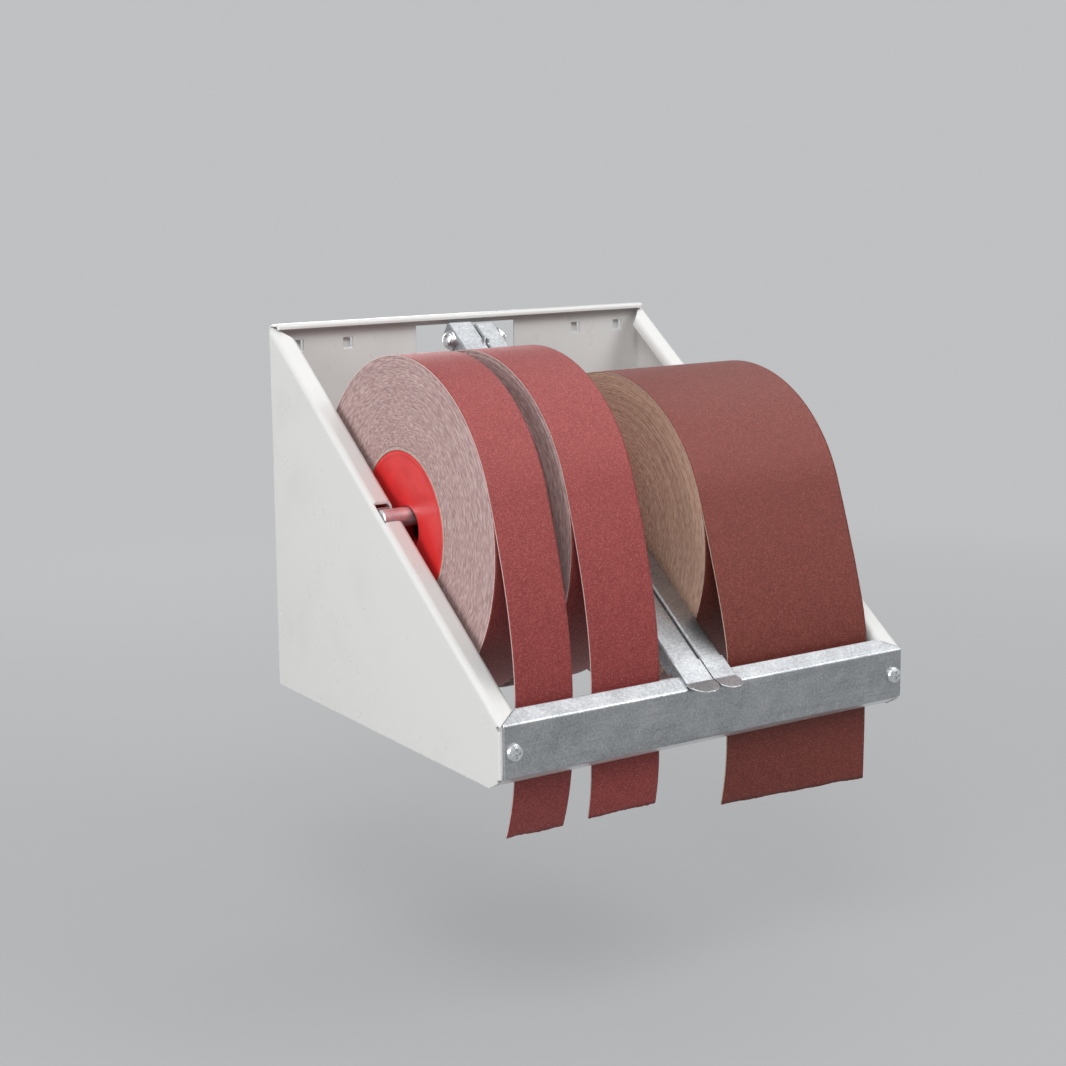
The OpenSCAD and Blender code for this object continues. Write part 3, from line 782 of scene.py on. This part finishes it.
@dataclass
class WoundRoll:
    """One roll: the wound body under its outer turn, and the strip that runs off it.

    Attributes:
        number: Which roll, from the left.
        grit: Its sort of paper.
        free_len: Length of the strip below the tear bar.
        curl_r: Radius of that end's curl.
        hubs: Whether the roll has plastic hubs.
        twist: Share of the curl that the end's right edge lacks.
        slant: How much lower the end's right corner hangs.
        core_gap: Room between the core and the wound body.
        loose: Room between the wound body and the outer turn's face.
        strip_t: Thickness of the strip.
        turn_rise: How much the outer turn widens from its start to where it leaves.
        turn_start: Angle at which the outer turn starts, upwards from the front.
        depart: Angle at which the strip leaves the roll.
        turn_step: Angle between two points of the outer turn.
        foot_z: Height at which the strip has come down to the tear bar's back.
        pass_z: Height at which its end starts to curl.
        run_step: Distance between two points along the strip.
        across_step: Distance between two points across the strip.
        blend_y: Depth of a stretch that would join the roll's motion to the strip's; not used.
        blend_z: Height of that stretch; not used.
        layer: Thickness of the bundle of turns that one ridge stands for.
        layer_spread: How unevenly the ridges stand out.
        groove: Depth of the groove between two ridges.
        ridge: Where on its thickness a ridge is full.
        spin_steps: Steps of the wound body round the axle.
        bend: Least angle between faces that shows as an edge.
        merge: Distance below which two points are one.
        settle_len: Length over which the strip starts to sway.
        wave: How far it sways.
        wave_per_m: Waves across and along it.
        lean: Share of the sway that all of it has.
        fray: How far its cut edges are rough.
        fray_per_m: Rough spots across and along the strip.
        torn: How far its end is ragged.
        torn_per_m: Fine and coarse rags across the end.
        coarse: Weight of the coarse rags.
    """

    number: int
    grit: Grit
    free_len: float
    curl_r: float
    hubs: bool
    twist: float = 0.0
    slant: float = 0.0
    core_gap: float = 0.15*MM
    loose: float = 0.95*MM
    strip_t: float = 0.8*MM
    turn_rise: float = 0.1*MM
    turn_start: float = math.radians(372)
    depart: float = math.radians(20)
    turn_step: float = math.radians(1.8)
    foot_z: float = -78*MM
    pass_z: float = -124*MM
    run_step: float = 2.5*MM
    across_step: float = 1.5*MM
    blend_y: float = 17.6*MM
    blend_z: float = 2.2*MM
    layer: float = 1.6*MM
    layer_spread: float = 0.16*MM
    groove: float = 0.12*MM
    ridge: Span = (0.25, 0.8)
    spin_steps: int = 160
    bend: float = math.radians(40)
    merge: float = 0.005*MM
    settle_len: float = 40*MM
    wave: float = 0.5*MM
    wave_per_m: Span = (14.0, 18.0)
    lean: float = 0.6
    fray: float = 0.12*MM
    fray_per_m: Span = (300.0, 420.0)
    torn: float = 0.45*MM
    torn_per_m: Span = (420.0, 60.0)
    coarse: float = 1.6

    def __post_init__(self) -> None:
        """Read the roll's place from the frame."""
        self.body = f"roll_{self.number}"
        joint = next(j for j in frame["joints"] if j["name"] == f"{self.body}_spin")
        self.axis = Vector(joint["pos_m"])
        low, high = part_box(f"{self.body}_winding")
        self.left = low.x
        self.right = high.x
        self.outer_r = self.axis.y - low.y
        self.inner_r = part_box(f"{self.body}_core")[1].z - self.axis.z + self.core_gap
        self.foot_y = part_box(f"{self.body}_strip_span")[0].y
        self.draw = random.Random(ROLL_SEED + self.number)

    def side(self, x: float, outward: float) -> Path:
        """Draw one side's section from the core outwards, ridge by ridge.

        Args:
            x: Where the side lies.
            outward: -1 for the left side, 1 for the right one.

        Returns:
            Points (x, radius).
        """
        rim = self.outer_r - self.loose
        count = round((rim - self.inner_r)/self.layer)
        pitch = (rim - self.inner_r)/count
        points = []
        for i in range(count):
            r = self.inner_r + i*pitch
            proud = outward*self.draw.uniform(-self.layer_spread, 0.0)
            points.append((x + proud - outward*self.groove, r))
            points.extend((x + proud, r + share*pitch) for share in self.ridge)
        points.append((x - outward*self.groove, rim))
        return points

    def wound_body(self, side: bpy.types.Material, face: bpy.types.Material) -> bpy.types.Object:
        """Spin the wound body's section about the axle.

        Args:
            side: Material of the two sides.
            face: Material of the outer face and the bore.

        Returns:
            The wound body.
        """
        mesh = bmesh.new()
        section = self.side(self.left, -1.0) + self.side(self.right, 1.0)[::-1]
        points = [mesh.verts.new((x, self.axis.y, self.axis.z + r)) for x, r in section]
        ring = [mesh.edges.new((a, b)) for a, b in zip(points, points[1:] + points[:1])]
        bmesh.ops.spin(
            mesh, geom=points + ring, cent=self.axis, axis=(1, 0, 0), angle=math.tau,
            steps=self.spin_steps, use_merge=True,
        )
        bmesh.ops.remove_doubles(mesh, verts=mesh.verts, dist=self.merge)
        bmesh.ops.recalc_face_normals(mesh, faces=mesh.faces)
        inside = (self.left + self.layer, self.right - self.layer)
        for polygon in mesh.faces:
            polygon.smooth = True
            polygon.material_index = int(inside[0] < polygon.calc_center_median().x < inside[1])
        piece = show_piece(f"{self.body}_wound_body", mesh, [side, face])
        piece.data.set_sharp_from_angle(angle=self.bend)
        return piece

    def turn_points(self) -> Path:
        """Follow the outer turn back over the roll to where the strip leaves it.

        Returns:
            Points (y, z).
        """
        points = []
        steps = round((self.turn_start - self.depart)/self.turn_step)
        for i in range(steps + 1):
            angle = self.turn_start + (self.depart - self.turn_start)*i/steps
            r = self.outer_r - self.turn_rise*(1 - i/steps)
            points.append((self.axis.y - r*math.cos(angle), self.axis.z + r*math.sin(angle)))
        return points

    def run_points(self, start_y: float, start_z: float) -> Path:
        """Follow the strip down to the tear bar in a parabola, and straight on behind the bar.

        Args:
            start_y: Where the strip leaves the roll.
            start_z: Its height there.

        Returns:
            Points (y, z) after the start.
        """
        points = []
        knee_z = start_z - (start_y - self.foot_y)/math.tan(self.depart)
        steps = round((start_z - self.foot_z)/self.run_step)
        for i in range(1, steps + 1):
            t = i/steps
            y = start_y*(1 - t)**2 + self.foot_y*(1 - (1 - t)**2)
            z = start_z*(1 - t)**2 + knee_z*2*t*(1 - t) + self.foot_z*t*t
            points.append((y, z))
        steps = round((self.foot_z - self.pass_z)/self.run_step)
        for i in range(1, steps + 1):
            points.append((self.foot_y, self.foot_z + (self.pass_z - self.foot_z)*i/steps))
        return points

    def end_points(self) -> Path:
        """Follow the curl of the strip's free end.

        Returns:
            Points (y, z) below the tear bar.
        """
        points = []
        steps = round(self.free_len/self.run_step)
        for i in range(1, steps + 1):
            angle = self.free_len/self.curl_r*i/steps
            y = self.foot_y + self.curl_r*(1 - math.cos(angle))
            points.append((y, self.pass_z - self.curl_r*math.sin(angle)))
        return points

    def strip(self, finishes: list[bpy.types.Material]) -> bpy.types.Object:
        """Extrude the strip's grit face along its path, and give it its thickness.

        Args:
            finishes: Materials of the grit face, the back and the cut edges.

        Returns:
            The strip.
        """
        path = self.turn_points()
        path += self.run_points(*path[-1])
        path += self.end_points()
        width = self.right - self.left
        columns = round(width/self.across_step)
        mesh = bmesh.new()
        uv = mesh.loops.layers.uv.new("strip_map")
        row = [mesh.verts.new((self.left + width*i/columns, *path[0])) for i in range(columns + 1)]
        rows = [row]
        for (y0, z0), (y1, z1) in zip(path, path[1:]):
            edges = [mesh.edges.get((a, b)) or mesh.edges.new((a, b)) for a, b in zip(row, row[1:])]
            grown = bmesh.ops.extrude_edge_only(mesh, edges=edges)["geom"]
            row = sorted((v for v in grown if isinstance(v, bmesh.types.BMVert)), key=lambda v: v.co.x)
            bmesh.ops.translate(mesh, verts=row, vec=(0.0, y1 - y0, z1 - z0))
            rows.append(row)
        place = self.map_rows(rows, path)
        for polygon in mesh.faces:
            polygon.smooth = True
            for loop in polygon.loops:
                loop[uv].uv = place[loop.vert]
        outward = [f for f in mesh.faces if f.normal.dot(f.calc_center_median() - self.axis) > 0]
        if len(outward) < len(mesh.faces)/2:
            bmesh.ops.reverse_faces(mesh, faces=mesh.faces)
        self.settle_rows(rows, place)
        piece = show_piece(f"{self.body}_paper_strip", mesh, finishes)
        wall = piece.modifiers.new("paper", "SOLIDIFY")
        wall.thickness = self.strip_t
        wall.offset = -1.0
        wall.material_offset = 1
        wall.material_offset_rim = 2
        return piece

    def map_rows(self, rows: list[Row], path: Path) -> FlatMap:
        """Measure each point's place on the flat strip.

        Args:
            rows: The strip's points, row by row.
            path: The path that the rows follow.

        Returns:
            (across, along) in metres for each point.
        """
        place = {}
        along = 0.0
        for i, row in enumerate(rows):
            if i:
                along += math.dist(path[i - 1], path[i])
            for vert in row:
                place[vert] = (vert.co.x - self.left, along)
        self.flat = (self.right - self.left, along)
        return place

    def settle_rows(self, rows: list[Row], place: FlatMap) -> None:
        """Let the hanging part sway, set its end askew, roughen the cut edges and tear the end.

        Args:
            rows: The strip's points, row by row.
            place: Where each point lies on the flat strip.
        """
        width, length = self.flat
        wave_x, wave_y = self.wave_per_m
        fray_x, fray_y = self.fray_per_m
        fine_x, coarse_x = self.torn_per_m
        hang_from = length - self.free_len - (self.foot_z - self.pass_z)
        # The roll's number and the plain numbers beside it only set the noise patterns apart
        for row in rows:
            for vert in row:
                across, along = place[vert]
                hang = max(0.0, min(1.0, (along - hang_from)/self.settle_len))
                sway = noise.noise((across*wave_x + 7*self.number, along*wave_y, 0.5))
                vert.co.y += hang*self.wave*(self.lean + sway)
                free = max(0.0, along - length + self.free_len)
                aside = across/width
                vert.co.y -= aside*self.twist*self.curl_r*(1 - math.cos(free/self.curl_r))
                vert.co.z -= aside*self.slant*free/self.free_len
            for vert in (row[0], row[-1]):
                along = place[vert][1]
                vert.co.x += self.fray*noise.noise((vert.co.x*fray_x, along*fray_y, 2.0 + self.number))
        for vert in rows[-1]:
            across = place[vert][0]
            fine = noise.noise((across*fine_x, 3.0*self.number, 1.0))
            coarse = noise.noise((across*coarse_x, self.number, 4.0))
            vert.co.z += self.torn*(fine + self.coarse*coarse)

    def build(self, effects: Effects) -> None:
        """Build the roll's pieces, dress its core and hubs, and tie the wound body to the roll's body.

        Args:
            effects: The shared effects.
        """
        paper = PAPERS[self.grit]
        side = WoundSideFinish(
            f"{self.body}_wound_side", self.axis.y, self.axis.z, self.inner_r, self.outer_r, paper.side,
        ).dress(effects)
        face, back, edge = (finish.dress(effects) for finish in (paper.face, paper.back, paper.edge))
        wound = self.wound_body(side, back)
        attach(wound, self.body)
        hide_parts(f"{self.body}_winding")
        strip = self.strip([face, back, edge])
        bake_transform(strip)
        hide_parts(f"{self.body}_strip_span", f"{self.body}_strip_end")
        self.dress_middle(effects)

    def dress_middle(self, effects: Effects) -> None:
        """Dress the core and, where the roll has them, its hubs.

        Args:
            effects: The shared effects.
        """
        put_on(f"{self.body}_core", CardFinish().dress(effects))
        if self.hubs:
            plastic = HubFinish(self.axis.y, self.axis.z).dress(effects)
            for hub in ("hub_left", "hub_right"):
                put_on(f"{self.body}_{hub}", plastic)


@dataclass(frozen=True)
class SoftLamp:
    """One square softbox: its place and width in metres, and its power in watts."""

    name: str
    place: Point
    size: float
    power: float

    def hang(self, aim: Point) -> None:
        """Put the lamp in the scene.

        Args:
            aim: The point that it faces.
        """
        data = bpy.data.lights.new(self.name, "AREA")
        data.size = self.size
        data.energy = self.power
        lamp = bpy.data.objects.new(self.name, data)
        lamp.location = self.place
        way = Vector(aim) - Vector(self.place)
        lamp.rotation_euler = way.to_track_quat("-Z", "Y").to_euler()
        bpy.context.scene.collection.objects.link(lamp)
        log.info("lamp %s", self.name)


@dataclass
class Studio:
    """Plain pale floor, pale surroundings and soft lamps."""

    floor_z: float = -0.3
    floor_r: float = 4.0
    floor_sides: int = 96
    floor_rough: float = 0.8
    grain_per_m: float = 30.0
    grain_shade: float = 0.97
    fade: Span = (0.3, 1.5)
    glow: Span = (0.55, 1.0)
    backdrop: Colour = (0.52, 0.53, 0.54)
    floor: Colour = (0.36, 0.366, 0.372)
    ambient: Colour = (0.14, 0.142, 0.144)
    aim: Point = (0.0, -0.12, -0.02)
    lamps: tuple[SoftLamp, ...] = (
        SoftLamp("front_softbox", (-0.8, -1.1, 1.3), 0.9, 17.0),
        SoftLamp("left_softbox", (-1.55, -0.3, 0.4), 1.0, 14.0),
        SoftLamp("right_softbox", (0.8, -1.1, 0.95), 0.8, 10.0),
        SoftLamp("overhead_softbox", (0.75, -0.05, 1.3), 1.3, 7.5),
        SoftLamp("rear_softbox", (0.4, 1.55, 0.35), 1.0, 11.0),
    )

    def seen_ray(self, sheet: NodeSheet) -> Socket:
        """Tell the rays that see the backdrop: camera, glossy and transmitted ones.

        Args:
            sheet: The node tree to put the test in.

        Returns:
            1 for such a ray, 0 for others.
        """
        ray = sheet.add("ShaderNodeLightPath").outputs
        seen = sheet.math("MAXIMUM", ray["Is Camera Ray"], ray["Is Glossy Ray"])
        return sheet.math("MAXIMUM", seen, ray["Is Transmission Ray"])

    def lay_floor(self) -> None:
        """Lay the floor disc, which fades into the backdrop's colour."""
        mesh = bmesh.new()
        bmesh.ops.create_circle(
            mesh, cap_ends=True, segments=self.floor_sides, radius=self.floor_r,
            matrix=Matrix.Translation((0, 0, self.floor_z)),
        )
        sheet = FinishSheet("pale_floor")
        flat = sheet.scaled(sheet.place, (1.0, 1.0, 0.0))
        radius = sheet.add("ShaderNodeVectorMath", operation="LENGTH")
        sheet.join(flat, radius.inputs[0])
        far = sheet.remap(radius.outputs["Value"], self.fade, self.glow)
        grain = sheet.cloud(sheet.place, self.grain_per_m)
        darker = tuple(self.grain_shade*part for part in self.floor)
        sheet.settle(Base_Color=sheet.mix(grain, self.floor, darker), Roughness=self.floor_rough)
        glow = sheet.add("ShaderNodeEmission", {"Color": rgba(self.backdrop), "Strength": 1.0})
        blend = sheet.add("ShaderNodeMixShader", {"Fac": sheet.math("MULTIPLY", far, self.seen_ray(sheet))})
        sheet.join(sheet.shader.outputs["BSDF"], blend.inputs[1])
        sheet.join(glow.outputs["Emission"], blend.inputs[2])
        sheet.join(blend.outputs["Shader"], sheet.tree.nodes["Material Output"].inputs["Surface"])
        show_piece("floor", mesh, [sheet.material])

    def light(self) -> None:
        """Light the scene with the surroundings and the lamps."""
        world = bpy.data.worlds.new("surroundings")
        world.use_nodes = True
        bpy.context.scene.world = world
        sheet = NodeSheet(world.node_tree)
        colour = sheet.mix(self.seen_ray(sheet), self.ambient, self.backdrop)
        sheet.join(colour, sheet.tree.nodes["Background"].inputs["Color"])
        for lamp in self.lamps:
            lamp.hang(self.aim)

    def set_up(self) -> None:
        """Lay the floor, light the scene and fix the colour handling."""
        self.lay_floor()
        self.light()
        bpy.context.scene.view_settings.view_transform = "Standard"


@dataclass
class PhotoCamera:
    """The camera at the photograph's viewing angle."""

    place: Point = (-0.7261, -1.2020, 0.2379)
    azimuth: float = math.radians(-33.099)
    elevation: float = math.radians(8.59)
    roll: float = math.radians(-0.496)
    lens_mm: float = 66.3
    sensor_mm: float = 36.0
    shift_y: float = -0.08
    sight: float = 50.0

    def stand(self) -> None:
        """Put the camera in the scene and make it the one that renders."""
        data = bpy.data.cameras.new("photo_camera")
        data.sensor_fit = "HORIZONTAL"
        data.sensor_width = self.sensor_mm
        data.lens = self.lens_mm
        data.shift_y = self.shift_y
        data.clip_end = self.sight
        camera = bpy.data.objects.new("photo_camera", data)
        back = Vector((
            math.sin(self.azimuth)*math.cos(self.elevation),
            -math.cos(self.azimuth)*math.cos(self.elevation),
            math.sin(self.elevation),
        ))
        turn = back.to_track_quat("Z", "Y").to_matrix() @ Matrix.Rotation(self.roll, 3, "Z")
        camera.matrix_world = Matrix.Translation(self.place) @ turn.to_4x4()
        bpy.context.scene.collection.objects.link(camera)
        bpy.context.scene.camera = camera
        log.info("camera %s", camera.name)


def main() -> None:
    """Build the camera, the studio, the finishes and the rolls."""
    logging.basicConfig(level=logging.INFO, format="%(name)s: %(message)s")
    PhotoCamera().stand()
    Studio().set_up()
    effects = Effects()
    MetalWork().dress(effects)
    for roll in (
        WoundRoll(1, Grit.RED, free_len=59*MM, curl_r=158*MM, pass_z=-104*MM, hubs=True),
        WoundRoll(2, Grit.RED, free_len=34*MM, curl_r=150*MM, hubs=True),
        WoundRoll(3, Grit.BROWN, free_len=46*MM, curl_r=190*MM, twist=0.85, slant=2.5*MM, hubs=False),
    ):
        roll.build(effects)


if __name__ == "__main__":
    main()
